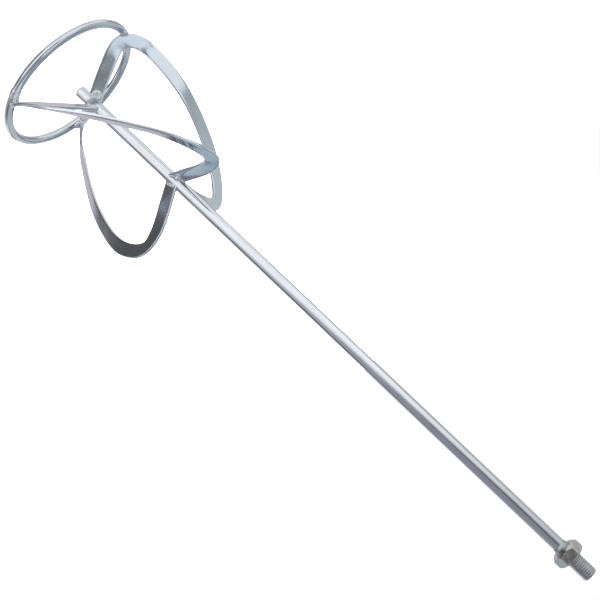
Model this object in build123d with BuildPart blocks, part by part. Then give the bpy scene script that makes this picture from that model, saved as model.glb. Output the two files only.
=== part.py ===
"""Mortar mixing paddle: a welded cage of three twisted blades and a ring on a long shaft.

Millimetres. The origin is on the shaft's axis, on the shoulder that seats against the drill's
spindle. +Z points up the threaded stud, so the shaft and the cage hang below the origin.
"""

from build123d import *
from math import cos, radians, sin
import os

# Drive end: an M14 hexagon-headed end, welded head down on the shaft
STUD_DIAMETER = 14.0
STUD_LENGTH = 20.0
STUD_CHAMFER = 1.0
HEX_ACROSS_FLATS = 24.0
HEX_HEIGHT = 11.2
WASHER_FACE_DIAMETER = 21.0
WASHER_FACE_HEIGHT = 0.5

# Each end of the hexagon is turned to a cone. These are the diameter of the round face that is left
# and how far the cone has cut down the corners.
HEX_LOWER_FACE_DIAMETER = 21.4
HEX_LOWER_CONE_HEIGHT = 3.4
HEX_UPPER_FACE_DIAMETER = 23.0
HEX_UPPER_CONE_HEIGHT = 1.9

# Shaft: plain round bar that stops a little above the ring
SHAFT_DIAMETER = 12.0
SHAFT_CHAMFER = 1.2
SHAFT_TIP_ABOVE_RING = 12.0
SHAFT_WELD_LEG = 3.2
SHAFT_WELD_HEIGHT = 6.0
SHAFT_WELD_FOOT_SLOPE = (0.1, 1.0)
SHAFT_WELD_RIM_SLOPE = (1.0, 0.5)

# Ring: round bar whose centre lies this far below the shoulder
SHOULDER_TO_RING = 635.0
RING_RADIUS = 72.0
RING_BAR_DIAMETER = 8.0
RING_SEAM_ANGLE = 304.0

# The ring is set on the blades by eye, so it sits a little off centre (mm) and off square (degrees)
RING_OFFSET = 1.8
RING_TILT = 1.7

# Blades: flat strip, one per spoke angle, in degrees about +Z
STRIP_WIDTH = 14.0
STRIP_THICKNESS = 3.0
SPOKE_ANGLES = (181.0, 311.0, 71.0)

# Each blade is formed by hand. These are how far its lower and upper corners stand out beyond the
# pattern, and how far up the shaft its lower spoke is welded.
LOWER_REACHES = (-6.0, 6.0, 0.0)
UPPER_REACHES = (-6.0, 0.0, 5.0)
LOWER_HUB_RISES = (0.0, 6.0, 0.0)

# The pattern of a blade, from its lower spoke to its upper one. Each row is the distance from the
# axis, the angle behind the lower spoke, the height above the ring, and the lean of the flat strip.
BLADE_STATIONS = (
    (1.0, 0.0, 31.0, 28.0),
    (47.0, 0.0, 12.0, 28.0),
    (68.0, 3.0, 8.0, 37.0),
    (80.0, 9.0, 16.0, 61.0),
    (86.0, 17.0, 34.0, 72.0),
    (89.0, 30.0, 68.0, 89.0),
    (84.0, 49.0, 117.0, 111.0),
    (71.0, 70.0, 160.0, 131.0),
    (60.0, 79.0, 171.0, 143.0),
    (43.0, 84.0, 168.0, 150.0),
    (21.0, 86.0, 155.0, 150.0),
    (1.0, 87.0, 142.0, 150.0),
)
LAST_SPOKE_STATION = 2
PATTERN_RADIUS = 75.0
PATTERN_HEIGHT = 175.0
STRIP_SECTIONS = 36

# Weld beads, as half lengths along and across the joint
HUB_WELD_HALF_LENGTH = 7.5
HUB_WELD_HALF_WIDTH = 4.2
HUB_WELD_STAND_OFF = 6.8
RING_WELD_HALF_LENGTH = 8.0
RING_WELD_HALF_WIDTH = 4.6
RING_WELD_STAND_OFF = 3.0
SEAM_WELD_HALF_LENGTH = 5.0
SEAM_WELD_HALF_WIDTH = 4.7

HEX_TOP = -WASHER_FACE_HEIGHT
HEX_BOTTOM = HEX_TOP - HEX_HEIGHT
HEX_CORNER_RADIUS = HEX_ACROSS_FLATS / 2 / cos(radians(30))
SHAFT_RADIUS = SHAFT_DIAMETER / 2
SHAFT_TIP = SHAFT_TIP_ABOVE_RING - SHOULDER_TO_RING

tilt = radians(RING_TILT)
ring_plane = Plane(
    origin=(RING_OFFSET, 0, -SHOULDER_TO_RING),
    x_dir=(cos(tilt), 0, -sin(tilt)),
    z_dir=(sin(tilt), 0, cos(tilt)),
)


def smooth_step(height):
    """Share of the upper corner's reach that applies at a height above the ring."""
    share = min(max(height / PATTERN_HEIGHT, 0.0), 1.0)
    return share * share * (3.0 - 2.0 * share)


def blade_points(spoke_angle, lower_reach, upper_reach, hub_rise):
    """Points that a blade's centre line passes through."""
    points = []
    for station, (distance, behind, height, lean) in enumerate(BLADE_STATIONS):
        share = smooth_step(height)
        reach = lower_reach * (1.0 - share) + upper_reach * share
        radius = distance * (1.0 + reach / PATTERN_RADIUS)
        angle = radians(spoke_angle - behind)
        rise = hub_rise * (1.0 - distance / PATTERN_RADIUS) if station <= LAST_SPOKE_STATION else 0.0
        z = height + rise - SHOULDER_TO_RING
        points.append(Vector(radius * cos(angle), radius * sin(angle), z))
    return points


def nearest_on_ring(point):
    """Point of the ring's centre line that lies nearest to a point."""
    local = ring_plane.to_local_coords(point)
    outward = (ring_plane.x_dir * local.X + ring_plane.y_dir * local.Y).normalized()
    return ring_plane.origin + outward * RING_RADIUS


def ring_weld_plane(planes):
    """Plane between the ring and the strip where they pass closest, with x along the ring."""
    lower_half = planes[: len(planes) // 2]
    crossing = min(lower_half, key=lambda plane: (plane.origin - nearest_on_ring(plane.origin)).length)
    on_ring = nearest_on_ring(crossing.origin)
    towards_strip = (crossing.origin - on_ring).normalized()
    around = ring_plane.z_dir.cross(on_ring - ring_plane.origin).normalized()
    origin = on_ring + towards_strip * RING_WELD_STAND_OFF
    return Plane(origin=origin, x_dir=around, z_dir=towards_strip)


def lean_at(share, station_shares):
    """Lean of the flat strip at a share of its length, between those of the stations beside it."""
    leans = [station[3] for station in BLADE_STATIONS]
    before = 0
    while before < len(leans) - 2 and share > station_shares[before + 1]:
        before += 1
    way = (share - station_shares[before]) / (station_shares[before + 1] - station_shares[before])
    return leans[before] + (leans[before + 1] - leans[before]) * way


def strip_planes(points):
    """Evenly spaced planes across the strip, with x along its width."""
    with BuildLine() as centre_line:
        Spline(*points)
    path = centre_line.edge()
    station_shares = [path.param_at_point(point) for point in points]
    planes = []
    for section in range(STRIP_SECTIONS + 1):
        share = section / STRIP_SECTIONS
        along = path.tangent_at(share)
        up = (Vector(0, 0, 1) - along * along.Z).normalized()
        side = along.cross(up)
        lean = radians(lean_at(share, station_shares))
        width_direction = up * cos(lean) + side * sin(lean)
        planes.append(Plane(origin=path.position_at(share), x_dir=width_direction, z_dir=along))
    return planes


def bead(plane, half_length, half_width):
    """A weld bead's whole body, an ellipsoid that lies along the plane's x direction."""
    with BuildPart() as body:
        with BuildSketch(plane):
            Ellipse(half_length, half_width)
            split(bisect_by=Plane.XZ, keep=Keep.BOTTOM)
        revolve(axis=Axis(plane.origin, plane.x_dir))
    return body.part


def trimmed_bead(plane, half_length, half_width, *joined):
    """A weld bead with the pieces that it joins cut out of it, less the slivers that this leaves."""
    with BuildPart() as body:
        add(bead(plane, half_length, half_width))
        for piece in joined:
            add(piece, mode=Mode.SUBTRACT)
    return body.part.solids().sort_by(SortBy.VOLUME)[-1]


# Shaft
with BuildPart() as shaft:
    with BuildSketch(Plane.XY.offset(SHAFT_TIP)):
        Circle(SHAFT_RADIUS)
    extrude(amount=HEX_BOTTOM - SHAFT_TIP)
    chamfer(shaft.edges().group_by(Axis.Z)[0], SHAFT_CHAMFER)
shaft.part.label = "shaft"

# Drive end: hexagon with coned ends, washer face and stud
with BuildPart() as drive_bolt:
    with BuildSketch(Plane.XY.offset(HEX_BOTTOM)):
        RegularPolygon(HEX_ACROSS_FLATS / 2, 6, major_radius=False)
    extrude(amount=HEX_HEIGHT)
    with BuildSketch(Plane.XZ):
        with BuildLine():
            Polyline(
                (0, HEX_BOTTOM),
                (HEX_LOWER_FACE_DIAMETER / 2, HEX_BOTTOM),
                (HEX_CORNER_RADIUS, HEX_BOTTOM + HEX_LOWER_CONE_HEIGHT),
                (HEX_CORNER_RADIUS, HEX_TOP - HEX_UPPER_CONE_HEIGHT),
                (HEX_UPPER_FACE_DIAMETER / 2, HEX_TOP),
                (0, HEX_TOP),
                close=True,
            )
        make_face()
    revolve(axis=Axis.Z, mode=Mode.INTERSECT)
    with BuildSketch(Plane.XY.offset(HEX_TOP)):
        Circle(WASHER_FACE_DIAMETER / 2)
    extrude(amount=WASHER_FACE_HEIGHT)
    with BuildSketch(Plane.XY):
        Circle(STUD_DIAMETER / 2)
    extrude(amount=STUD_LENGTH)
    chamfer(drive_bolt.edges().group_by(Axis.Z)[-1], STUD_CHAMFER)
drive_bolt.part.label = "drive_bolt"

# Weld between the shaft and the hexagon: a hollow fillet that flares up to the hexagon
with BuildPart() as shaft_weld:
    with BuildSketch(Plane.XZ):
        with BuildLine():
            foot = (SHAFT_RADIUS, HEX_BOTTOM - SHAFT_WELD_HEIGHT)
            rim = (SHAFT_RADIUS + SHAFT_WELD_LEG, HEX_BOTTOM)
            inner = (SHAFT_RADIUS, HEX_BOTTOM)
            Spline(foot, rim, tangents=(SHAFT_WELD_FOOT_SLOPE, SHAFT_WELD_RIM_SLOPE))
            Polyline(rim, inner, foot)
        make_face()
    revolve(axis=Axis.Z)
shaft_weld.part.label = "shaft_weld"

# Ring
with BuildPart() as ring:
    with BuildSketch(Plane(origin=ring_plane.origin, x_dir=ring_plane.x_dir, z_dir=-ring_plane.y_dir)):
        with Locations((RING_RADIUS, 0)):
            Circle(RING_BAR_DIAMETER / 2)
    revolve(axis=Axis(ring_plane.origin, ring_plane.z_dir))
ring.part.label = "ring"

# Weld that closes the ring
seam = radians(RING_SEAM_ANGLE)
seam_direction = ring_plane.x_dir * cos(seam) + ring_plane.y_dir * sin(seam)
seam_plane = Plane(
    origin=ring_plane.origin + seam_direction * RING_RADIUS,
    x_dir=ring_plane.z_dir.cross(seam_direction),
    z_dir=ring_plane.z_dir,
)
with BuildPart() as ring_seam_weld:
    add(trimmed_bead(seam_plane, SEAM_WELD_HALF_LENGTH, SEAM_WELD_HALF_WIDTH, ring.part))
ring_seam_weld.part.label = "ring_seam_weld"

os.makedirs("parts", exist_ok=True)
for piece in (shaft, drive_bolt, shaft_weld, ring, ring_seam_weld):
    export_step(piece.part, f"parts/{piece.part.label}.step")

# Blades, and their welds on the shaft and on the ring
for number, spoke_angle in enumerate(SPOKE_ANGLES, start=1):
    points = blade_points(
        spoke_angle,
        LOWER_REACHES[number - 1],
        UPPER_REACHES[number - 1],
        LOWER_HUB_RISES[number - 1],
    )
    planes = strip_planes(points)

    with BuildPart() as blade:
        for plane in planes:
            with BuildSketch(plane):
                Rectangle(STRIP_WIDTH, STRIP_THICKNESS)
        loft()
        add(shaft.part, mode=Mode.SUBTRACT)
        add(ring.part, mode=Mode.SUBTRACT)
    blade.part.label = f"blade_{number}"

    hub_planes = {
        "lower_hub_weld": planes[0].offset(HUB_WELD_STAND_OFF),
        "upper_hub_weld": planes[-1].offset(-HUB_WELD_STAND_OFF),
    }
    welds = []
    for name, plane in hub_planes.items():
        weld_metal = trimmed_bead(
            plane,
            HUB_WELD_HALF_LENGTH,
            HUB_WELD_HALF_WIDTH,
            shaft.part,
            blade.part,
        )
        with BuildPart() as hub_weld:
            add(weld_metal)
        hub_weld.part.label = f"{name}_{number}"
        welds.append(hub_weld)

    weld_metal = trimmed_bead(
        ring_weld_plane(planes),
        RING_WELD_HALF_LENGTH,
        RING_WELD_HALF_WIDTH,
        ring.part,
        ring_seam_weld.part,
        blade.part,
    )
    with BuildPart() as ring_weld:
        add(weld_metal)
    ring_weld.part.label = f"ring_weld_{number}"
    welds.append(ring_weld)

    for piece in (blade, *welds):
        export_step(piece.part, f"parts/{piece.part.label}.step")
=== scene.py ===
"""Looks of the mortar mixing paddle, on its CAD frame: metres, +Z up the drive stud."""

import bpy
import numpy as np
from math import cos, pi, radians, sin, sqrt
from mathutils import Matrix, Vector, noise


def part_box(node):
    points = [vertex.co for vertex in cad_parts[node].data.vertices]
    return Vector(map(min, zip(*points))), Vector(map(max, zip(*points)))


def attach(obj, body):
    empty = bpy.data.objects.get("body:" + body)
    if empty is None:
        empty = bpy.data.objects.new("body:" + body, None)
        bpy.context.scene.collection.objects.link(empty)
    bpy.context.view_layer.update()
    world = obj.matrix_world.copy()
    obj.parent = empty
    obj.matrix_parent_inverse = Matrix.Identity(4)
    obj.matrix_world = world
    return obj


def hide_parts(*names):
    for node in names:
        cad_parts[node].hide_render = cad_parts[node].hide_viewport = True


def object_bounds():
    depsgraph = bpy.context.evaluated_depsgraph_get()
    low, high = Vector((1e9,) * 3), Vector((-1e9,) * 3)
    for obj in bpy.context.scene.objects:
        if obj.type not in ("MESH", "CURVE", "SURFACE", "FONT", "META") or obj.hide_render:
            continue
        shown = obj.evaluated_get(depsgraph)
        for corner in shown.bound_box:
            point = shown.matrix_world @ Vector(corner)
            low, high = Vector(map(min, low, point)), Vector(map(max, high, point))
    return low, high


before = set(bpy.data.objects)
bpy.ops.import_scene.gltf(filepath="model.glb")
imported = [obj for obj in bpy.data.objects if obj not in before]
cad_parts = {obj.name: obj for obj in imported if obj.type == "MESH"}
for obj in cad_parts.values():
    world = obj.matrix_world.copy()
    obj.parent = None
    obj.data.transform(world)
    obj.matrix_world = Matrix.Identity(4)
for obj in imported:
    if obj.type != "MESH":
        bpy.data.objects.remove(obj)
CAD_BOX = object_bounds()

MM = 0.001

# Sizes that the CAD frame gives
SHAFT_LOW, SHAFT_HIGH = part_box("shaft")
BOLT_LOW, BOLT_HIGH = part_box("drive_bolt")
WELD_LOW, WELD_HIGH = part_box("shaft_weld")
SHAFT_RADIUS = (SHAFT_HIGH.x - SHAFT_LOW.x) / 2
HEX_APOTHEM = (BOLT_HIGH.y - BOLT_LOW.y) / 2
HEX_CORNER = (BOLT_HIGH.x - BOLT_LOW.x) / 2

# Shaft: the slight dish, the chamfer and the rounded corners of its lower end, and how uneven the
# drawn bar is, with the waves of that unevenness to a metre
SHAFT_DISH_DEPTH = 0.15 * MM
SHAFT_DISH_CENTRE = 0.4 * MM
SHAFT_DISH_RADIUS = 2.4 * MM
SHAFT_CHAMFER = 1.2 * MM
SHAFT_ROUNDING = 0.25 * MM
SHAFT_UNEVENNESS = 0.045 * MM
SHAFT_WAVES = 22.0
SHAFT_ROWS = 240
SHAFT_SEGMENTS = 72

# Drive end's hexagon. Its ends are turned to cones: radius of the face that is left, and height of
# the cone. The centre and border only place rows of points on the lower face.
HEX_LOWER_FACE_RADIUS = 10.7 * MM
HEX_LOWER_CONE = 3.4 * MM
HEX_UPPER_FACE_RADIUS = 11.5 * MM
HEX_UPPER_CONE = 1.9 * MM
HEX_CORNER_ROUNDING = 0.30 * MM
HEX_FACE_CENTRE = 0.5 * MM
HEX_FACE_BORDER = 0.3 * MM
HEX_LOWER_ROWS = 34
HEX_MIDDLE_ROWS = 8
HEX_UPPER_ROWS = 20
HEX_SEGMENTS = 288
WASHER_RADIUS = 10.5 * MM
WASHER_HEIGHT = 0.5 * MM
WASHER_BEVEL = 0.2 * MM
WASHER_BEVEL_HEIGHT = 0.15 * MM
WASHER_INNER_RADIUS = 5.6 * MM

# Drive end's stud: its thread, the relief groove at the shoulder and the chamfered, slightly dished
# tip, whose rim and dish are shares of the radius
STUD_RADIUS = 7.0 * MM
STUD_ROWS = 216
STUD_SEGMENTS = 96
THREAD_PITCH = 2.0 * MM
THREAD_DEPTH = 0.9 * MM
THREAD_FLANK = 1.35
THREAD_ROOT = 0.12
THREAD_RUN_IN = 1.2 * MM
GROOVE_LENGTH = 1.5 * MM
GROOVE_DEPTH = 1.05 * THREAD_DEPTH
GROOVE_FADE_START = 1.125 * MM
GROOVE_FADE = 0.5 * MM
TIP_CHAMFER = 1.3 * MM
TIP_CHAMFER_SLOPE = 0.9
TIP_RIM = 0.93
TIP_DISH_CENTRE = 0.2
TIP_DISH_DEPTH = 0.1 * MM

# Ring: where its centre is, how it is tilted, its two radii and how uneven the bent bar is
RING_CENTRE = Vector((1.8, 0.0, -635.0)) * MM
RING_TILT = radians(1.7)
RING_FRAME = Matrix.Translation(RING_CENTRE) @ Matrix.Rotation(RING_TILT, 4, "Y")
RING_RADIUS = 72.0 * MM
RING_BAR_RADIUS = 4.0 * MM
RING_WOBBLE = 0.10 * MM
RING_UNEVENNESS = 0.04 * MM
RING_ROWS = 300
RING_SEGMENTS = 40

# The weld that closes the ring: the bar's ends and the bead, both to each side of the joint
SEAM_ANGLE = radians(304.0)
SEAM_HALF_GAP = 0.8 * MM
SEAM_HALF_LENGTH = 4.4 * MM
SEAM_HEIGHT = 0.62 * MM
SEAM_SUNK = 0.12 * MM
SEAM_RIPPLES = 17.0
SEAM_RIPPLE = 0.10 * MM
SEAM_ROUGHNESS = 0.12 * MM
SEAM_ROWS = 44
SEAM_SEGMENTS = 48

# Blades: flat strip formed through stations. Each is the distance from the axis in millimetres, the
# degrees behind the lower spoke, the millimetres above the ring, and the strip's lean in degrees.
STRIP_WIDTH = 14.0 * MM
STRIP_THICKNESS = 3.0 * MM
STRIP_EDGE_RADIUS = 0.8 * MM
STRIP_UNEVENNESS = 0.12 * MM
STRIP_WAVES = 45.0
STRIP_CORNER_STEPS = 4
STRIP_FLAT_STEPS = 6
BLADE_ROWS = 260
BLADE_STATIONS = (
    (1.0, 0.0, 31.0, 28.0),
    (47.0, 0.0, 12.0, 28.0),
    (68.0, 3.0, 8.0, 37.0),
    (80.0, 9.0, 16.0, 61.0),
    (86.0, 17.0, 34.0, 72.0),
    (89.0, 30.0, 68.0, 89.0),
    (84.0, 49.0, 117.0, 111.0),
    (71.0, 70.0, 160.0, 131.0),
    (60.0, 79.0, 171.0, 143.0),
    (43.0, 84.0, 168.0, 150.0),
    (21.0, 86.0, 155.0, 150.0),
    (1.0, 87.0, 142.0, 150.0),
)
LAST_SPOKE_STATION = 2
PATTERN_RADIUS = 75.0
PATTERN_HEIGHT = 175.0
# For each blade: its lower spoke's angle in degrees, how many millimetres further than the pattern it
# stands out at the bottom and at the top, and how many the hub end of its lower spoke is raised
BLADES = ((181.0, -6.0, -6.0, 0.0), (311.0, 6.0, 0.0, 6.0), (71.0, 0.0, 5.0, 0.0))

# The weld that joins the shaft to the hexagon. It flares a little all the way up and more at the top,
# in shares of the CAD weld's flare.
COLLAR_SUNK = 0.08 * MM
COLLAR_EVEN_FLARE = 0.094
COLLAR_TOP_FLARE = 0.7896
COLLAR_RIPPLES = 21
COLLAR_RIPPLE = 0.03 * MM
COLLAR_ROUGHNESS = 0.10 * MM
COLLAR_ROWS = 22
COLLAR_SEGMENTS = 144

# Weld beads of the blades. The second bead of a pair is a little smaller than the first. The end,
# scallop and roughness are shares of a bead's size.
BEAD_HALF_LENGTH = 6.5 * MM
BEAD_END = 0.02
BEAD_SCALLOP = 0.12
BEAD_ROUGHNESS = 0.10
BEAD_ROWS = 56
BEAD_SEGMENTS = 28
SECOND_BEAD = 0.9
HUB_BEAD_WIDTH = 1.9 * MM
HUB_BEAD_HEIGHT = 1.7 * MM
HUB_BEAD_RIPPLES = 9
HUB_BEAD_LEAN = 0.8
HUB_SEARCH_ROWS = 521
RING_BEAD_WIDTH = 2.3 * MM
RING_BEAD_HEIGHT = 1.9 * MM
RING_BEAD_RIPPLES = 8
RING_BEAD_OFFSET = 1.6 * MM
RING_BEAD_SEAT = 0.9 * RING_BAR_RADIUS
RING_SEARCH_EDGES = (-0.4 * STRIP_WIDTH, 0.0, 0.4 * STRIP_WIDTH)
RING_SEARCH_ROWS = 261

# Round weld nuggets at the hubs: radius, height, and place outwards from the middle of the joint.
# The crater's radius is a share of a nugget's radius, and the heights are shares of its height.
LOWER_NUGGET = (5.4 * MM, 3.4 * MM, 1.6 * MM)
UPPER_NUGGET = (4.3 * MM, 3.0 * MM, -1.2 * MM)
NUGGET_SUNK = 0.15 * STRIP_THICKNESS
NUGGET_CENTRE = 0.02
NUGGET_RINGS = 19.0
NUGGET_RING_HEIGHT = 0.10
NUGGET_CRATER_DEPTH = 0.62
NUGGET_CRATER_RADIUS = 0.45
NUGGET_ROUGHNESS = 0.05
NUGGET_ROWS = 40
NUGGET_SEGMENTS = 64

# Zinc plating: its finest textures, in features to a metre, and the depth of its grain and waves
DRAWING_LINES = 2600.0
RUBBED_SPOTS = 420.0
GRAIN_DEPTH = 0.03 * MM
WAVE_DEPTH = 0.4 * MM

# Camera, with the lens and the film in millimetres
CAMERA_PLACE = Vector((0.25, -869.9, -181.7)) * MM
CAMERA_TARGET = Vector((0.27, 0.0, -326.5)) * MM
CAMERA_ROLL = radians(133.5)
CAMERA_LENS = 58.0
CAMERA_FILM = 36.0
CAMERA_NEAR = 0.01
CAMERA_FAR = 50.0

# Floor and the lamp that whitens it
FLOOR_HALF_WIDTH = 6.0
FLOOR_GLOW = 0.8
LAMP_ENERGY = 9.0
LAMP_SPREAD = radians(70)

# Studio: the dim room, and the cards in it. Each card is its azimuth from the front, where +X is at
# 90 degrees, its elevation, the radii of its even middle and of its soft edge, and its brightness.
ROOM_LIGHT = (0.55, 0.60, 0.60)
CARDS = (
    (0, 90, 30, 60, (0.30, 0.35, 0.40)),
    (150, -35, 15, 60, (1.20, 1.15, 1.20)),
    (-15, 25, 10, 35, (0.85, 0.95, 0.95)),
    (45, 30, 30, 45, (0.30, 0.30, 0.35)),
    (-40, -30, 45, 75, (0.05, 0.05, 0.05)),
    (95, -10, 5, 35, (0.25, 0.25, 0.30)),
    (-55, -45, 30, 75, (1.30, 1.35, 1.35)),
    (-15, -65, 55, 70, (1.15, 1.15, 1.15)),
    (165, -80, 20, 70, (0.10, 0.10, 0.10)),
    (-55, 25, 5, 15, (0.90, 0.95, 0.95)),
    (-75, -45, 0, 45, (0.70, 0.75, 0.75)),
    (175, -35, 35, 40, (0.60, 0.55, 0.60)),
    (5, 10, 5, 10, (0.15, 0.15, 0.15)),
    (-130, -5, 15, 20, (0.40, 0.40, 0.40)),
    (130, 10, 5, 15, (0.40, 0.50, 0.55)),
    (145, 0, 5, 10, (0.05, 0.05, 0.05)),
    (-55, -50, 20, 30, (0.80, 0.80, 0.80)),
    (-40, 25, 5, 10, (0.85, 0.90, 0.95)),
    (-20, 45, 10, 20, (0.80, 0.85, 0.90)),
    (20, -70, 5, 15, (0.10, 0.10, 0.10)),
    (50, -35, 5, 10, (0.10, 0.10, 0.10)),
    (95, -10, 5, 15, (0.15, 0.15, 0.15)),
)


# ---------------------------------------------------------------- shapes


def smooth_step(share):
    """0 below 0, 1 above 1, and a smooth rise between."""
    share = min(max(share, 0.0), 1.0)
    return share * share * (3.0 - 2.0 * share)


def evenly(start, end, count):
    """Evenly spaced values from start to end, both included."""
    return [start + (end - start) * i / count for i in range(count + 1)]


def round_angles(count):
    """Evenly spaced angles once round."""
    return [2 * pi * i / count for i in range(count)]


def flat_direction(angle):
    return Vector((cos(angle), sin(angle), 0))


def put_in_scene(name, data):
    thing = bpy.data.objects.new(name, data)
    bpy.context.scene.collection.objects.link(thing)
    return thing


def grid_piece(name, rows, capped=True):
    """A mesh from rows of points that go round, with UVs in metres: u round, v along."""
    count = len(rows[0])
    vertices = [tuple(point) for row in rows for point in row]
    along = [0.0]
    for low, high in zip(rows, rows[1:]):
        along.append(along[-1] + max((Vector(a) - Vector(b)).length for a, b in zip(low, high)))
    widest = max(rows, key=lambda row: (Vector(row[0]) - Vector(row[count // 2])).length)
    around = [0.0]
    for a, b in zip(widest, list(widest[1:]) + [widest[0]]):
        around.append(around[-1] + (Vector(a) - Vector(b)).length)
    faces = []
    places = []
    for i in range(len(rows) - 1):
        for j in range(count):
            k = (j + 1) % count
            faces.append((i * count + j, i * count + k, (i + 1) * count + k, (i + 1) * count + j))
            low_u, high_u = around[j], around[j + 1]
            low_v, high_v = along[i], along[i + 1]
            places += [(low_u, low_v), (high_u, low_v), (high_u, high_v), (low_u, high_v)]
    if capped:
        first_loop = list(range(count))[::-1]
        last_loop = [(len(rows) - 1) * count + j for j in range(count)]
        for loop in (first_loop, last_loop):
            faces.append(tuple(loop))
            places += [(vertices[v][0], vertices[v][1]) for v in loop]
    mesh = bpy.data.meshes.new(name)
    mesh.from_pydata(vertices, [], faces)
    layer = mesh.uv_layers.new(name="surface")
    layer.data.foreach_set("uv", np.array(places, np.float32).ravel())
    mesh.polygons.foreach_set("use_smooth", [True] * len(faces))
    mesh.update()
    return put_in_scene(name, mesh)


def keep_crisp(piece, degrees):
    """Keeps edges that turn by more than this crisp, and gives the piece back."""
    piece.data.set_sharp_from_angle(angle=radians(degrees))
    return piece


def lathe_rows(profile, segments, shape):
    """Rows of points about the Z axis, from (radius, height) pairs whose radius shape changes."""
    rows = []
    for radius, height in profile:
        row = []
        for angle in round_angles(segments):
            r = shape(radius, height, angle)
            row.append((r * cos(angle), r * sin(angle), height))
        rows.append(row)
    return rows


# ---------------------------------------------------------------- blades


def natural_spline(knots, values, wanted):
    """Values of a natural cubic spline through the knots, at the wanted places."""
    count = len(knots)
    gaps = np.diff(knots)
    matrix = np.eye(count)
    right = np.zeros((count, values.shape[1]))
    for i in range(1, count - 1):
        matrix[i, i - 1 : i + 2] = gaps[i - 1], 2 * (gaps[i - 1] + gaps[i]), gaps[i]
        slope_after = (values[i + 1] - values[i]) / gaps[i]
        slope_before = (values[i] - values[i - 1]) / gaps[i - 1]
        right[i] = 6 * (slope_after - slope_before)
    bend = np.linalg.solve(matrix, right)
    index = np.clip(np.searchsorted(knots, wanted) - 1, 0, count - 2)
    step = gaps[index][:, None]
    after = (wanted - knots[index])[:, None]
    before = step - after
    return (
        bend[index] * before**3 / (6 * step)
        + bend[index + 1] * after**3 / (6 * step)
        + (values[index] / step - bend[index] * step / 6) * before
        + (values[index + 1] / step - bend[index + 1] * step / 6) * after
    )


def blade_line(spoke_angle, lower_reach, upper_reach, hub_rise, count):
    """Points, width directions and flat directions evenly along a blade."""
    points = []
    leans = []
    for station, (distance, behind, height, lean) in enumerate(BLADE_STATIONS):
        share = smooth_step(height / PATTERN_HEIGHT)
        reach = lower_reach * (1 - share) + upper_reach * share
        radius = distance * (1 + reach / PATTERN_RADIUS)
        angle = radians(spoke_angle - behind)
        rise = hub_rise * (1 - distance / PATTERN_RADIUS) if station <= LAST_SPOKE_STATION else 0.0
        z = (height + rise) * MM + RING_CENTRE.z
        points.append((radius * MM * cos(angle), radius * MM * sin(angle), z))
        leans.append(radians(lean))
    points = np.array(points)
    gaps = np.linalg.norm(np.diff(points, axis=0), axis=1)
    knots = np.concatenate([[0.0], np.cumsum(gaps)])
    wanted = np.linspace(0.0, knots[-1], count)
    line = natural_spline(knots, points, wanted)
    leans = np.interp(wanted, knots, leans)
    along = np.gradient(line, axis=0)
    along /= np.linalg.norm(along, axis=1)[:, None]
    up = np.array([0.0, 0.0, 1.0]) - along[:, 2:3] * along
    up /= np.linalg.norm(up, axis=1)[:, None]
    side = np.cross(along, up)
    width = up * np.cos(leans)[:, None] + side * np.sin(leans)[:, None]
    return line, width, np.cross(along, width)


def strip_section():
    """Outline of the flat strip with its rolled edges, as (across, through) pairs."""
    half_width = STRIP_WIDTH / 2 - STRIP_EDGE_RADIUS
    half_thickness = STRIP_THICKNESS / 2 - STRIP_EDGE_RADIUS
    outline = []
    for quarter, (x_side, y_side) in enumerate(((1, 1), (-1, 1), (-1, -1), (1, -1))):
        for step in range(STRIP_CORNER_STEPS + 1):
            angle = (quarter + step / STRIP_CORNER_STEPS) * pi / 2
            across = x_side * half_width + STRIP_EDGE_RADIUS * cos(angle)
            through = y_side * half_thickness + STRIP_EDGE_RADIUS * sin(angle)
            outline.append((across, through))
        if x_side == y_side:
            for step in range(1, STRIP_FLAT_STEPS):
                across = x_side * half_width * (1 - 2 * step / STRIP_FLAT_STEPS)
                outline.append((across, y_side * STRIP_THICKNESS / 2))
    return outline


def blade_piece(number, shape):
    """A blade swept along its line, with the slight unevenness of hand bending."""
    section = strip_section()
    rows = []
    for point, across, through in zip(*blade_line(*shape, count=BLADE_ROWS)):
        place = Vector(point) * STRIP_WAVES + Vector((number, 0, 0))
        wave = STRIP_UNEVENNESS * noise.noise(place)
        row = []
        for a, t in section:
            row.append(Vector(point) + Vector(across) * a + Vector(through) * (t + wave))
        rows.append(row)
    return grid_piece(f"blade_strip_{number}", rows)


# ---------------------------------------------------------------- shaft, ring and drive end


def shaft_piece():
    """Round bar with a sawn, chamfered lower end."""
    low, high = SHAFT_LOW.z, SHAFT_HIGH.z
    chamfer_top = low + SHAFT_CHAMFER
    profile = [
        (SHAFT_DISH_CENTRE, low + SHAFT_DISH_DEPTH),
        (SHAFT_DISH_RADIUS, low + SHAFT_DISH_DEPTH / 3),
        (SHAFT_RADIUS - SHAFT_CHAMFER - SHAFT_ROUNDING, low),
        (SHAFT_RADIUS - SHAFT_CHAMFER, low + SHAFT_ROUNDING * 0.3),
        (SHAFT_RADIUS - SHAFT_ROUNDING, chamfer_top - SHAFT_ROUNDING * 0.7),
        (SHAFT_RADIUS, chamfer_top + SHAFT_ROUNDING),
    ]
    profile += [(SHAFT_RADIUS, z) for z in evenly(chamfer_top + 4 * SHAFT_ROUNDING, high, SHAFT_ROWS)]

    def drawn(radius, height, angle):
        if radius <= SHAFT_RADIUS - SHAFT_CHAMFER:
            return radius
        wander = noise.noise(Vector((cos(angle) * 0.6, sin(angle) * 0.6, height * SHAFT_WAVES)))
        return radius - SHAFT_UNEVENNESS * (0.5 + 0.5 * wander)

    return keep_crisp(grid_piece("shaft_bar", lathe_rows(profile, SHAFT_SEGMENTS, drawn)), degrees=50)


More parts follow.
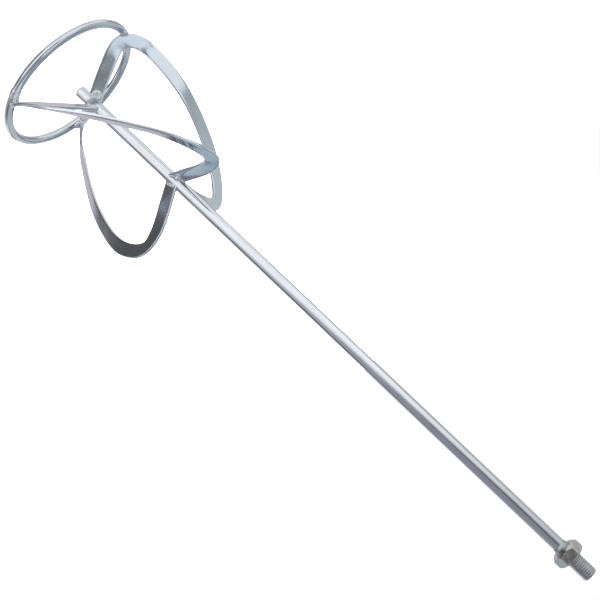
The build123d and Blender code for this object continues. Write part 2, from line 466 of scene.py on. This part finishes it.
def ring_point(out, turn, path_radius, bar_radius):
    """A point on the ring's bar: out is the way from the ring's centre, and turn goes round the bar."""
    lift = Vector((0, 0, bar_radius * sin(turn)))
    return RING_FRAME @ (out * (path_radius + bar_radius * cos(turn)) + lift)


def ring_piece():
    """Bent round bar, very slightly out of round, whose ends meet at the seam."""
    gap = SEAM_HALF_GAP / RING_RADIUS
    rows = []
    for angle in evenly(SEAM_ANGLE + gap, SEAM_ANGLE + 2 * pi - gap, RING_ROWS):
        out = flat_direction(angle)
        path_radius = RING_RADIUS + RING_WOBBLE * (noise.noise(out * 3.1) - 1)
        row = []
        for turn in round_angles(RING_SEGMENTS):
            rough = 1 + noise.noise(out * 9 + Vector((0, 0, turn)))
            row.append(ring_point(out, turn, path_radius, RING_BAR_RADIUS - RING_UNEVENNESS * rough))
        rows.append(row[::-1])
    return keep_crisp(grid_piece("ring_bar", rows), degrees=50)


def seam_piece():
    """The closing weld: a raised, rippled collar round the bar."""
    rows = []
    for share in evenly(-1.0, 1.0, SEAM_ROWS):
        out = flat_direction(SEAM_ANGLE + SEAM_HALF_LENGTH / RING_RADIUS * share)
        hump = SEAM_HEIGHT * sqrt(max(0.0, 1 - share**4))
        row = []
        for turn in round_angles(SEAM_SEGMENTS):
            ripple = SEAM_RIPPLE * sin(share * SEAM_RIPPLES + 2.2 * cos(turn))
            rough = SEAM_ROUGHNESS * noise.noise(Vector((share * 3, cos(turn) * 2, sin(turn) * 2)))
            bar_radius = RING_BAR_RADIUS - SEAM_SUNK + (hump + ripple + rough) * (1 - share**6)
            row.append(ring_point(out, turn, RING_RADIUS, bar_radius))
        rows.append(row[::-1])
    return grid_piece("ring_seam_bead", rows)


def hexagon_piece():
    """Forged hexagon whose ends are turned to cones, and the washer face."""
    top = -WASHER_HEIGHT
    bottom = BOLT_LOW.z
    lower_slope = (HEX_CORNER - HEX_LOWER_FACE_RADIUS) / HEX_LOWER_CONE
    upper_slope = (HEX_CORNER - HEX_UPPER_FACE_RADIUS) / HEX_UPPER_CONE

    def outline(radius, height, angle):
        if radius < HEX_CORNER:
            return radius
        from_middle = abs(angle % (pi / 3) - pi / 6)
        flat = min(HEX_APOTHEM / cos(from_middle), HEX_CORNER - HEX_CORNER_ROUNDING)
        lower_cone = HEX_LOWER_FACE_RADIUS + (height - bottom) * lower_slope
        upper_cone = HEX_UPPER_FACE_RADIUS + (top - height) * upper_slope
        return min(flat, lower_cone, upper_cone)

    heights = evenly(bottom, bottom + HEX_LOWER_CONE, HEX_LOWER_ROWS)
    heights += evenly(bottom + HEX_LOWER_CONE, top - HEX_UPPER_CONE, HEX_MIDDLE_ROWS)[1:]
    heights += evenly(top - HEX_UPPER_CONE, top, HEX_UPPER_ROWS)[1:]
    profile = [(HEX_FACE_CENTRE, bottom), (HEX_LOWER_FACE_RADIUS - HEX_FACE_BORDER, bottom)]
    profile += [(HEX_CORNER, z) for z in heights]
    profile += [
        (WASHER_RADIUS, top),
        (WASHER_RADIUS, -WASHER_BEVEL_HEIGHT),
        (WASHER_RADIUS - WASHER_BEVEL, 0.0),
        (WASHER_INNER_RADIUS, 0.0),
    ]
    return keep_crisp(grid_piece("drive_hexagon", lathe_rows(profile, HEX_SEGMENTS, outline)), degrees=24)


def stud_piece():
    """Rolled thread with a relief groove at the shoulder and a chamfered tip."""
    top = BOLT_HIGH.z

    def threaded(radius, height, angle):
        phase = (height / THREAD_PITCH - angle / (2 * pi)) % 1.0
        tooth = min(max(abs(2 * phase - 1) * THREAD_FLANK - THREAD_ROOT, 0.0), 1.0)
        run_in = smooth_step((height - GROOVE_LENGTH) / THREAD_RUN_IN)
        cut = THREAD_DEPTH * (1 - tooth) * run_in
        relief = GROOVE_DEPTH * (1 - smooth_step((height - GROOVE_FADE_START) / GROOVE_FADE))
        chamfer = max(0.0, height - (top - TIP_CHAMFER)) * TIP_CHAMFER_SLOPE
        return radius - max(cut, relief, chamfer)

    rows = lathe_rows([(STUD_RADIUS, z) for z in evenly(0.0, top, STUD_ROWS)], STUD_SEGMENTS, threaded)
    rows.append([(x * TIP_RIM, y * TIP_RIM, z) for x, y, z in rows[-1]])
    rows.append([(x * TIP_DISH_CENTRE, y * TIP_DISH_CENTRE, z - TIP_DISH_DEPTH) for x, y, z in rows[-1]])
    return keep_crisp(grid_piece("drive_stud_thread", rows), degrees=60)


def collar_weld_piece():
    """The weld that runs round the shaft up to the hexagon, with torch ripples."""
    flare = WELD_HIGH.x - SHAFT_RADIUS
    profile = []
    for share, z in zip(evenly(0.0, 1.0, COLLAR_ROWS), evenly(WELD_LOW.z, WELD_HIGH.z, COLLAR_ROWS)):
        swell = flare * (COLLAR_EVEN_FLARE * share + COLLAR_TOP_FLARE * share**3)
        profile.append((SHAFT_RADIUS - COLLAR_SUNK + swell, z))

    def rippled(radius, height, angle):
        share = (height - WELD_LOW.z) / (WELD_HIGH.z - WELD_LOW.z)
        ripple = COLLAR_RIPPLE * sin(angle * COLLAR_RIPPLES + 4 * share)
        rough = COLLAR_ROUGHNESS * noise.noise(Vector((cos(angle) * 2, sin(angle) * 2, share * 1.5)))
        return radius + (ripple + rough) * sin(pi * share)

    return grid_piece("shaft_weld_bead", lathe_rows(profile, COLLAR_SEGMENTS, rippled), capped=False)


# ---------------------------------------------------------------- weld beads


def bead_rows(path, outwards, width, height, seed, ripples):
    """Rows of points of a rippled weld bead along a path, bulging outwards."""
    steps = len(path) - 1
    rows = []
    for i, (place, outward) in enumerate(zip(path, outwards)):
        share = i / steps
        along = (path[min(i + 1, steps)] - path[max(i - 1, 0)]).normalized()
        across = along.cross(outward).normalized()
        full = sqrt(max(0.0, 1 - (2 * share - 1) ** 4)) * (1 - BEAD_END) + BEAD_END
        wave = (share * ripples) % 1.0
        scallop = 1 + BEAD_SCALLOP * sqrt(1 - (2 * wave - 1) ** 2)
        row = []
        for turn in round_angles(BEAD_SEGMENTS):
            spot = Vector((seed * 7.1 + share * 4, cos(turn), sin(turn)))
            rough = 1 + BEAD_ROUGHNESS * noise.noise(spot)
            size = full * scallop * rough / (1 + BEAD_SCALLOP)
            bulge = across * (cos(turn) * width * size) + outward * (sin(turn) * height * size)
            row.append(place + bulge)
        rows.append(row)
    return rows


def joint_path(line, width, flat, face, upper):
    """Where one face of a strip comes out of the shaft, across the strip, and which way is out."""
    path = []
    outwards = []
    order = range(len(line) - 1, 0, -1) if upper else range(len(line))
    for offset in evenly(-BEAD_HALF_LENGTH, BEAD_HALF_LENGTH, BEAD_ROWS):
        for i in order:
            spot = Vector(line[i] + width[i] * offset + flat[i] * face * STRIP_THICKNESS / 2)
            if sqrt(spot.x**2 + spot.y**2) >= SHAFT_RADIUS:
                break
        away = Vector((spot.x, spot.y, 0)).normalized()
        path.append(spot)
        outwards.append((Vector(flat[i]) * face + away * HUB_BEAD_LEAN).normalized())
    return path, outwards


def nugget_rows(centre, outward, radius, height, seed):
    """Rows of points of a round weld nugget with a cooled, ringed crater, from its rim to its middle."""
    side = outward.orthogonal().normalized()
    other = outward.cross(side)
    rows = []
    for reach in evenly(1.0, NUGGET_CENTRE, NUGGET_ROWS):
        dome = sqrt(max(0.0, 1 - reach**3))
        rings = NUGGET_RING_HEIGHT * cos(reach * NUGGET_RINGS + seed) * reach * (1 - reach**6)
        crater = -NUGGET_CRATER_DEPTH * max(0.0, 1 - (reach / NUGGET_CRATER_RADIUS) ** 2)
        row = []
        for turn in round_angles(NUGGET_SEGMENTS):
            spot = Vector((seed * 3.3, cos(turn) * reach * 2, sin(turn) * reach * 2))
            rough = NUGGET_ROUGHNESS * noise.noise(spot)
            wander = NUGGET_ROUGHNESS * noise.noise(Vector((cos(turn), sin(turn), seed)))
            r = radius * reach * (1 + wander)
            h = height * (dome + rings + crater + rough)
            row.append(centre + side * (r * cos(turn)) + other * (r * sin(turn)) + outward * h)
        rows.append(row)
    return rows


def joined(name, groups):
    """One piece from several row grids."""
    parts = [grid_piece(f"{name}_{i}", rows) for i, rows in enumerate(groups)]
    with bpy.context.temp_override(
        object=parts[0], active_object=parts[0], selected_editable_objects=parts, selected_objects=parts
    ):
        bpy.ops.object.join()
    parts[0].name = name
    parts[0].data.name = name
    return parts[0]


def hub_weld_piece(name, shape, upper, seed):
    """Beads on both faces of a spoke where it comes out of the shaft, and a nugget on the second one."""
    line, width, flat = blade_line(*shape, count=HUB_SEARCH_ROWS)
    groups = []
    for face, swell in ((1, 1.0), (-1, SECOND_BEAD)):
        path, outwards = joint_path(line, width, flat, face, upper)
        sizes = (HUB_BEAD_WIDTH * swell, HUB_BEAD_HEIGHT * swell)
        groups.append(bead_rows(path, outwards, *sizes, seed + face, HUB_BEAD_RIPPLES))
    middle = path[len(path) // 2]
    nearest = np.argmin(np.linalg.norm(line - np.array(middle), axis=1))
    through = Vector(flat[nearest])
    out = Vector((middle.x, middle.y, 0)).normalized()
    radius, height, shift = UPPER_NUGGET if upper else LOWER_NUGGET
    centre = middle + through * NUGGET_SUNK + out * shift
    groups.append(nugget_rows(centre, -through.normalized(), radius, height, seed))
    return joined(name, groups)


def from_ring(spot):
    """The way to a spot from the middle of the ring's bar, and the way out to it from the ring's centre."""
    out = Vector((spot.x, spot.y, 0)).normalized()
    return spot - out * RING_RADIUS, out


def ring_weld_piece(name, shape, seed):
    """Two beads along the ring where a blade's lower corner rests on it."""
    line, width, _ = blade_line(*shape, count=RING_SEARCH_ROWS)
    lower_half = RING_SEARCH_ROWS // 2
    to_ring = RING_FRAME.inverted()
    spots = []
    for point, across in zip(line[:lower_half], width[:lower_half]):
        for edge in RING_SEARCH_EDGES:
            spots.append(to_ring @ (Vector(point) + Vector(across) * edge))
    gap, out = min(map(from_ring, spots), key=lambda pair: pair[0].length)
    around = Vector((-out.y, out.x, 0))
    towards = gap.normalized()
    inward = around.cross(towards).normalized()
    seat = out * RING_RADIUS + towards * RING_BEAD_SEAT
    groups = []
    for sideways, swell in ((RING_BEAD_OFFSET, 1.0), (-RING_BEAD_OFFSET, SECOND_BEAD)):
        middle = seat + inward * sideways
        reaches = evenly(-BEAD_HALF_LENGTH, BEAD_HALF_LENGTH, BEAD_ROWS)
        path = [RING_FRAME @ (middle + around * reach) for reach in reaches]
        outwards = [RING_FRAME.to_3x3() @ towards] * len(path)
        sizes = (RING_BEAD_WIDTH * swell, RING_BEAD_HEIGHT)
        groups.append(bead_rows(path, outwards, *sizes, seed + sideways, RING_BEAD_RIPPLES))
    return joined(name, groups)


# ---------------------------------------------------------------- materials


def links(tree, *pairs):
    for source, target in pairs:
        tree.links.new(source, target)


def noise_node(tree, scale, detail):
    node = tree.nodes.new("ShaderNodeTexNoise")
    node.inputs["Scale"].default_value = scale
    node.inputs["Detail"].default_value = detail
    return node


def range_node(tree, from_min, from_max, to_min=0.0, to_max=1.0):
    node = tree.nodes.new("ShaderNodeMapRange")
    node.inputs["From Min"].default_value = from_min
    node.inputs["From Max"].default_value = from_max
    node.inputs["To Min"].default_value = to_min
    node.inputs["To Max"].default_value = to_max
    return node


def bump_node(tree, strength, distance):
    node = tree.nodes.new("ShaderNodeBump")
    node.inputs["Strength"].default_value = strength
    node.inputs["Distance"].default_value = distance
    return node


def colour_mix(tree, share, linked_colour, fixed_colour):
    """Mixes a linked colour with a fixed one, which shows where the share is 1."""
    mix = tree.nodes.new("ShaderNodeMix")
    mix.data_type = "RGBA"
    colours = [socket for socket in mix.inputs if socket.type == "RGBA"]
    result = [socket for socket in mix.outputs if socket.type == "RGBA"]
    links(tree, (share, mix.inputs["Factor"]), (linked_colour, colours[0]))
    colours[1].default_value = (*fixed_colour, 1.0)
    return result[0]


def zinc(name, base, tint, roughness, streaks, mottle, grain):
    """Bright zinc plating over bar or strip: drawn streaks, soft mottling, rubbed spots.

    The mottling runs from tint to base, with mottle as its patches to a metre. streaks is how many
    times longer the drawing lines are than they are wide, and grain is how strongly they stand out.
    """
    material = bpy.data.materials.new(name)
    material.use_nodes = True
    tree = material.node_tree
    shader = tree.nodes["Principled BSDF"]
    shader.inputs["Metallic"].default_value = 1.0

    place = tree.nodes.new("ShaderNodeTexCoord")
    stretch = tree.nodes.new("ShaderNodeMapping")
    stretch.inputs["Scale"].default_value = (1.0, 1.0 / streaks, 1.0)
    lines = noise_node(tree, scale=DRAWING_LINES, detail=3.0)
    cloud = noise_node(tree, scale=mottle, detail=4.0)
    spots = noise_node(tree, scale=RUBBED_SPOTS, detail=2.0)
    links(
        tree,
        (place.outputs["UV"], stretch.inputs["Vector"]),
        (stretch.outputs["Vector"], lines.inputs["Vector"]),
        (place.outputs["Object"], cloud.inputs["Vector"]),
        (place.outputs["Object"], spots.inputs["Vector"]),
    )

    colour = tree.nodes.new("ShaderNodeValToRGB")
    low_end, high_end = colour.color_ramp.elements
    low_end.position = 0.30
    low_end.color = (*tint, 1.0)
    high_end.position = 0.68
    high_end.color = (*base, 1.0)
    links(
        tree,
        (cloud.outputs["Fac"], colour.inputs["Fac"]),
        (colour.outputs["Color"], shader.inputs["Base Color"]),
    )

    wear = range_node(tree, from_min=0.35, from_max=0.75, to_min=roughness * 0.75, to_max=roughness * 1.5)
    rub = range_node(tree, from_min=0.60, from_max=0.78, to_min=0.0, to_max=0.12)
    total = tree.nodes.new("ShaderNodeMath")
    total.operation = "ADD"
    links(
        tree,
        (cloud.outputs["Fac"], wear.inputs["Value"]),
        (spots.outputs["Fac"], rub.inputs["Value"]),
        (wear.outputs["Result"], total.inputs[0]),
        (rub.outputs["Result"], total.inputs[1]),
        (total.outputs["Value"], shader.inputs["Roughness"]),
    )

    waves = bump_node(tree, strength=0.15, distance=WAVE_DEPTH)
    bump = bump_node(tree, strength=grain, distance=GRAIN_DEPTH)
    links(
        tree,
        (cloud.outputs["Fac"], waves.inputs["Height"]),
        (lines.outputs["Fac"], bump.inputs["Height"]),
        (waves.outputs["Normal"], bump.inputs["Normal"]),
        (bump.outputs["Normal"], shader.inputs["Normal"]),
    )
    return material


def stage_material():
    """Pale matt floor with a glow of its own, so that it reads as white."""
    material = bpy.data.materials.new("studio_floor")
    material.use_nodes = True
    shader = material.node_tree.nodes["Principled BSDF"]
    shader.inputs["Base Color"].default_value = (0.93, 0.93, 0.94, 1.0)
    shader.inputs["Roughness"].default_value = 0.9
    shader.inputs["Emission Color"].default_value = (1.0, 1.0, 1.0, 1.0)
    shader.inputs["Emission Strength"].default_value = FLOOR_GLOW
    return material


# ---------------------------------------------------------------- assembly


def dress(piece, material, slot, *nodes):
    """Gives a piece its material and the CAD nodes that it stands for. The slot is not used."""
    piece.data.materials.clear()
    piece.data.materials.append(material)
    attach(piece, "root")
    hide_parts(*nodes)


shaft_zinc = zinc(
    "shaft_zinc",
    base=(0.74, 0.77, 0.82),
    tint=(0.68, 0.71, 0.76),
    roughness=0.12,
    streaks=40.0,
    mottle=38.0,
    grain=0.12,
)
strip_zinc = zinc(
    "strip_zinc",
    base=(0.79, 0.84, 0.91),
    tint=(0.71, 0.76, 0.83),
    roughness=0.13,
    streaks=30.0,
    mottle=40.0,
    grain=0.14,
)
ring_zinc = zinc(
    "ring_zinc",
    base=(0.74, 0.78, 0.83),
    tint=(0.66, 0.70, 0.76),
    roughness=0.07,
    streaks=40.0,
    mottle=60.0,
    grain=0.10,
)
bolt_zinc = zinc(
    "bolt_zinc",
    base=(0.71, 0.69, 0.67),
    tint=(0.60, 0.58, 0.57),
    roughness=0.18,
    streaks=3.0,
    mottle=160.0,
    grain=0.22,
)
# The bolt's zinc, painted darker on the stud: painted shade of the thread's grooves
stud_painted_shade_zinc = zinc(
    "stud_painted_shade_zinc",
    base=(0.62, 0.63, 0.65),
    tint=(0.48, 0.49, 0.51),
    roughness=0.16,
    streaks=3.0,
    mottle=160.0,
    grain=0.22,
)
# The weld's zinc, painted dark teal on the collar: painted shade where the weld sits under the hexagon
collar_painted_shade_zinc = zinc(
    "collar_painted_shade_zinc",
    base=(0.50, 0.56, 0.58),
    tint=(0.42, 0.47, 0.49),
    roughness=0.34,
    streaks=2.0,
    mottle=160.0,
    grain=0.25,
)
weld_zinc = zinc(
    "weld_zinc",
    base=(0.95, 0.96, 0.98),
    tint=(0.80, 0.83, 0.87),
    roughness=0.27,
    streaks=2.0,
    mottle=260.0,
    grain=0.30,
)

dress(shaft_piece(), shaft_zinc, "shaft_zinc", "shaft")
dress(ring_piece(), ring_zinc, "ring_zinc", "ring")
dress(seam_piece(), weld_zinc, "weld_zinc", "ring_seam_weld")
dress(hexagon_piece(), bolt_zinc, "bolt_zinc", "drive_bolt")
dress(stud_piece(), stud_painted_shade_zinc, "bolt_zinc", "drive_bolt")
dress(collar_weld_piece(), collar_painted_shade_zinc, "weld_zinc", "shaft_weld")
# The last argument of a weld is the seed of its roughness, another one for every weld
for number, shape in enumerate(BLADES, start=1):
    dress(blade_piece(number, shape), strip_zinc, "strip_zinc", f"blade_{number}")
    lower = hub_weld_piece(f"lower_hub_bead_{number}", shape, False, number)
    dress(lower, weld_zinc, "weld_zinc", f"lower_hub_weld_{number}")
    upper = hub_weld_piece(f"upper_hub_bead_{number}", shape, True, number + 5)
    dress(upper, weld_zinc, "weld_zinc", f"upper_hub_weld_{number}")
    seat = ring_weld_piece(f"ring_bead_{number}", shape, number + 9)
    dress(seat, weld_zinc, "weld_zinc", f"ring_weld_{number}")


# ---------------------------------------------------------------- studio


def floor_piece():
    """Wide floor at the height of the tool's lowest point."""
    z = CAD_BOX[0].z
    sides = ((-1, -1), (1, -1), (1, 1), (-1, 1))
    corners = [(x * FLOOR_HALF_WIDTH, y * FLOOR_HALF_WIDTH, z) for x, y in sides]
    mesh = bpy.data.meshes.new("studio_floor")
    mesh.from_pydata(corners, [], [(0, 1, 2, 3)])
    mesh.materials.append(stage_material())
    piece = put_in_scene("studio_floor", mesh)
    piece.visible_glossy = False


def floor_light():
    """Soft light from above that whitens the floor, and leaves the reflections alone."""
    light = bpy.data.lights.new("floor_light", "SUN")
    light.energy = LAMP_ENERGY
    light.angle = LAMP_SPREAD
    lamp = put_in_scene("floor_light", light)
    lamp.visible_glossy = False


def card_share(tree, place, azimuth, elevation, inner, outer):
    """How much of a card shows: all of it inside the inner radius, none of it outside the outer one."""
    a = radians(azimuth)
    e = radians(elevation)
    facing = tree.nodes.new("ShaderNodeVectorMath")
    facing.operation = "DOT_PRODUCT"
    facing.inputs[1].default_value = (sin(a) * cos(e), -cos(a) * cos(e), sin(e))
    edge = range_node(tree, from_min=cos(radians(outer)), from_max=cos(radians(inner)))
    edge.interpolation_type = "SMOOTHSTEP"
    links(
        tree,
        (place.outputs["Generated"], facing.inputs[0]),
        (facing.outputs["Value"], edge.inputs["Value"]),
    )
    return edge.outputs["Result"]


def studio_world():
    """What the metal reflects: a dim room with soft-edged white and dark cards round the object.

    A later card covers an earlier one. The camera itself sees plain white behind the object.
    """
    world = bpy.data.worlds.new("studio")
    world.use_nodes = True
    tree = world.node_tree
    place = tree.nodes.new("ShaderNodeTexCoord")
    room = tree.nodes.new("ShaderNodeRGB")
    room.outputs["Color"].default_value = (*ROOM_LIGHT, 1.0)
    shade = room.outputs["Color"]
    for *card, brightness in CARDS:
        shade = colour_mix(tree, card_share(tree, place, *card), shade, brightness)
    seen = tree.nodes.new("ShaderNodeLightPath")
    backdrop = colour_mix(tree, seen.outputs["Is Camera Ray"], shade, (1.0, 1.0, 1.0))
    links(tree, (backdrop, tree.nodes["Background"].inputs["Color"]))
    bpy.context.scene.world = world


def camera():
    """The photograph's point of view."""
    data = bpy.data.cameras.new("camera")
    data.lens = CAMERA_LENS
    data.sensor_width = CAMERA_FILM
    data.clip_start = CAMERA_NEAR
    data.clip_end = CAMERA_FAR
    aim = (CAMERA_TARGET - CAMERA_PLACE).to_track_quat("-Z", "Y").to_matrix().to_4x4()
    roll = Matrix.Rotation(CAMERA_ROLL, 4, "Z")
    eye = put_in_scene("camera", data)
    eye.matrix_world = Matrix.Translation(CAMERA_PLACE) @ aim @ roll
    bpy.context.scene.camera = eye


floor_piece()
floor_light()
studio_world()
camera()
bpy.context.scene.view_settings.view_transform = "Standard"
